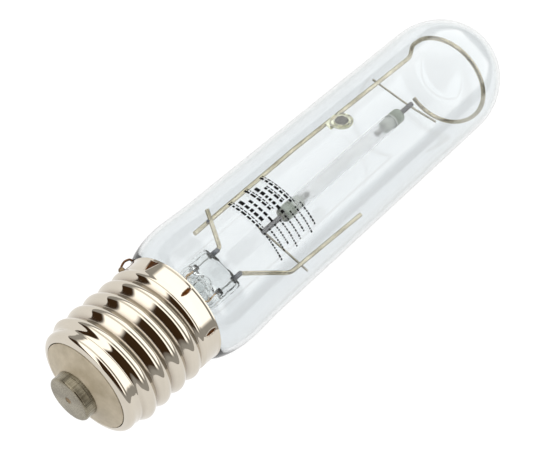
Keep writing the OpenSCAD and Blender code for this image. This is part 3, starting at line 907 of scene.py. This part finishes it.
def build_getter():
    """Pressed dish: three dark slots in a channel between two rims, and powder in the middle."""
    out, inner, rise, skin = GETTER_R, GETTER_INNER, GETTER_RISE, GETTER_SKIN
    cup = [
        (0, 0), (out - 0.6 * MM, 0), (out - 0.2 * MM, 0.2 * MM), (out, 0.6 * MM),
        (out, rise - 0.1 * MM), (out - 0.12 * MM, rise), (out - skin, rise - 0.1 * MM),
        (out - 0.5 * MM, 0.4 * MM), (out - 0.9 * MM, skin), (inner + 0.5 * MM, skin),
        (inner + 0.3 * MM, 0.5 * MM), (inner + 0.25 * MM, rise - 0.1 * MM),
        (inner + 0.1 * MM, rise), (inner, rise - 0.1 * MM), (inner, skin), (0, skin),
    ]
    mesh = skin_mesh("getter_cup", [(getter_rings(cup), False)])
    piece("getter_cup", mesh, MATERIALS["getter_steel"], ["getter_ring"])
    slots = []
    for turn in GETTER_SLOTS:
        arc = [math.radians(turn + step) for step in spans(-SLOT_HALF, SLOT_HALF, 9)]
        path = [getter_point(SLOT_REACH, a, skin) for a in arc]
        slots.append((wire_rings(path, SLOT_R, 12), False))
    mesh = skin_mesh("getter_slots", slots)
    piece("getter_slots", mesh, MATERIALS["getter_powder"])
    fill = [(0, skin), (inner, skin), (inner, 0.8 * MM), (inner * 0.8, 0.86 * MM),
            (inner * 0.4, 0.9 * MM), (0, 0.9 * MM)]
    mesh = skin_mesh("getter_pellet", [(getter_rings(fill), False)])
    piece("getter_pellet", mesh, MATERIALS["getter_powder"], ["getter_fill"])


# ---------------------------------------------------------------------- marking

INK_RISE = 0.02 * MM


def dash_rings(x, width, start, end):
    """One printed dash around the glass, from angle to angle: rings of a thin section."""
    corners = ((x, 0.0), (x + width, 0.0), (x + width, INK_RISE), (x, INK_RISE))
    rings = []
    for a in spans(math.radians(start), math.radians(end), 5):
        out = Vector((0, math.cos(a), math.sin(a)))
        rings.append([list(Vector((at, 0, 0)) + out * (TUBE_R + rise)) for at, rise in corners])
    return np.array(rings)


def bar_dashes(rng, x, width, span, long, gap):
    """Breaks one bar into plain dashes of uneven length."""
    start, end = span
    dashes = []
    at = start
    while at < end - 0.4 * long:
        stop = min(end, at + long * rng.uniform(0.55, 1.25))
        dashes.append((dash_rings(x, width * rng.uniform(0.82, 1.0), at, stop), False))
        at = stop + gap
    return dashes


def build_marking():
    """Two columns of plain broken bars fired on the glass; they carry no letters."""
    rng = np.random.default_rng(7)
    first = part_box("glass_marking")[0][0]
    # Angles and lengths around the glass are in degrees; split parts the two columns.
    bars, step, thick, thin, split = 8, 2.5 * MM, 1.7 * MM, 0.9 * MM, 97
    shells = []
    for i in range(bars):
        x = first + i * step
        fine_span = (split + 2, split + 28 - 3 * (i % 3))
        shells += bar_dashes(rng, x, 0.8 * thin, fine_span, long=2.0, gap=0.9)
        if i == bars - 1:
            continue
        bold_span = (split - 36 + 5 * (i % 3), split - 6 * (i % 2))
        bold = rng.uniform(0.45, 0.85)
        shells += bar_dashes(rng, x, bold * thick, bold_span, long=4.2, gap=1.3)
        if bold < 0.6:
            shells += bar_dashes(rng, x + 0.7 * thick, 0.28 * thick, bold_span, long=2.8, gap=1.0)
    mesh = skin_mesh("ink_bars", shells)
    piece("ink_bars", mesh, MATERIALS["marking_ink"], ["glass_marking"], 30)


build_shell()
build_insulator()
build_contact()
build_solder()
build_bulb()
build_stem()
build_exhaust()
build_frame_wire()
build_leads()
build_straps()
build_seals()
build_side_lead()
build_side_bead()
build_centre_lead()
build_arc_tube()
build_coils()
build_getter()
build_marking()

SLOTS = {row["node"]: row["material_slot"] for row in frame["record"]["subparts"]}
for name, node in frame["nodes"].items():
    node.data.materials.clear()
    node.data.materials.append(MATERIALS[SLOTS[name]])


# ----------------------------------------------------------------------- studio

WHITE = (1.0, 1.0, 1.0, 1.0)
FLOOR_HALF, FLOOR_DROP, FLOOR_GLOW = 3.0, 0.5 * MM, 0.92


def studio_floor():
    """Pale paper that glows softly, so the lamp hardly throws a shadow on it."""
    n = Nodes("floor_paper")
    grain = n.noise(n.place(), 60.0)
    n.set(
        Base_Color=n.ramp(grain, [(0.3, (0.14, 0.14, 0.14)), (0.7, (0.16, 0.16, 0.16))]),
        Roughness=0.9,
        Emission_Color=WHITE,
        Emission_Strength=FLOOR_GLOW,
    )
    corners = ((-1, -1), (1, -1), (1, 1), (-1, 1))
    z = cad_low[2] - FLOOR_DROP
    mesh = bpy.data.meshes.new("floor")
    mesh.from_pydata([(x * FLOOR_HALF, y * FLOOR_HALF, z) for x, y in corners], [], [(0, 1, 2, 3)])
    mesh.materials.append(n.material)
    floor = bpy.data.objects.new("floor", mesh)
    bpy.context.scene.collection.objects.link(floor)


# Plain soft studio light: grey surroundings, white cards, and gaps between them where the
# dark, warm room shows. Each covers directions by their share along the lamp's axis (x)
# and their angle about it from +Y towards +Z in degrees (turn), as (low, high, softness)
# edges; later rows lie over earlier ones.
SURROUND, CARD, DIM_CARD = (0.46, 0.45, 0.43), (2.15, 2.12, 2.06), (1.12, 1.10, 1.04)
SHADE, ROOM = (0.34, 0.33, 0.31), (0.060, 0.032, 0.014)
STUDIO = [
    (CARD, (0.36, 2, 0.05), (22, 158, 10)),
    (DIM_CARD, (-0.12, 0.36, 0.08), (22, 158, 10)),
    (SHADE, (-0.12, 0.34, 0.08), (76, 162, 10)),
    (CARD, (-2, -0.12, 0.06), (24, 160, 12)),
    (ROOM, (-2, -0.40, 0.05), (70, 165, 16)),
    (ROOM, (-2, -0.20, 0.06), (-50, 24, 10)),
    (SHADE, (0.93, 2, 0.05), (-180, 180, 4)),
]


def studio_world():
    """The studio that the metal and glass reflect; the camera sees plain pale paper."""
    world = bpy.data.worlds.new("studio")
    bpy.context.scene.world = world
    world.use_nodes = True
    tree = world.node_tree

    def calc(operation, a, b):
        return add_node(tree, "ShaderNodeMath", {0: a, 1: b}, operation=operation).outputs[0]

    def mix(factor, a, b):
        inputs = {"Factor": factor, "A": a, "B": b}
        return add_node(tree, "ShaderNodeMix", inputs, data_type="RGBA").outputs["Result"]

    def edge(value, at, soft):
        """Rises from 0 to 1 over soft, or falls where soft is negative."""
        return add_node(tree, "ShaderNodeMapRange", {
            "Value": value, "From Min": at - soft / 2, "From Max": at + soft / 2,
        }, interpolation_type="SMOOTHSTEP").outputs[0]

    way = add_node(tree, "ShaderNodeTexCoord").outputs["Generated"]
    x, y, z = add_node(tree, "ShaderNodeSeparateXYZ", {0: way}).outputs
    turn = calc("MULTIPLY", calc("ARCTAN2", z, y), 180 / math.pi)
    colour = (*SURROUND, 1.0)
    for shade, along, turns in STUDIO:
        cover = 1.0
        for value, (low, high, soft) in ((x, along), (turn, turns)):
            cover = calc("MULTIPLY", cover, edge(value, low, soft))
            cover = calc("MULTIPLY", cover, edge(value, high, -soft))
        colour = mix(cover, colour, (*shade, 1.0))
    rays = add_node(tree, "ShaderNodeLightPath").outputs["Is Camera Ray"]
    tree.links.new(mix(rays, colour, WHITE), tree.nodes["Background"].inputs["Color"])


# Where the photograph was taken from, which way it looks, and its focal length for a
# sensor 36 mm wide.
CAMERA_AT = Vector((-0.1310, -0.0494, 0.3514))
CAMERA_AHEAD, CAMERA_RIGHT = Vector((0.5337, 0.1159, -0.8377)), Vector((0.6391, -0.7039, 0.3099))
FOCAL_MM, SENSOR_MM = 83.6, 36.0


def camera():
    """The photograph's view: from beyond the cap, above the wire frame's plane."""
    ahead = CAMERA_AHEAD.normalized()
    up = CAMERA_RIGHT.normalized().cross(ahead).normalized()
    right = ahead.cross(up)
    data = bpy.data.cameras.new("camera")
    data.sensor_width = SENSOR_MM
    data.sensor_fit = "HORIZONTAL"
    data.lens = FOCAL_MM
    data.clip_start = 0.01
    obj = bpy.data.objects.new("camera", data)
    turn = Matrix((right, up, -ahead)).transposed().to_4x4()
    obj.matrix_world = Matrix.Translation(CAMERA_AT) @ turn
    bpy.context.scene.collection.objects.link(obj)
    bpy.context.scene.camera = obj


studio_floor()
studio_world()
camera()
bpy.context.scene.view_settings.view_transform = "Standard"
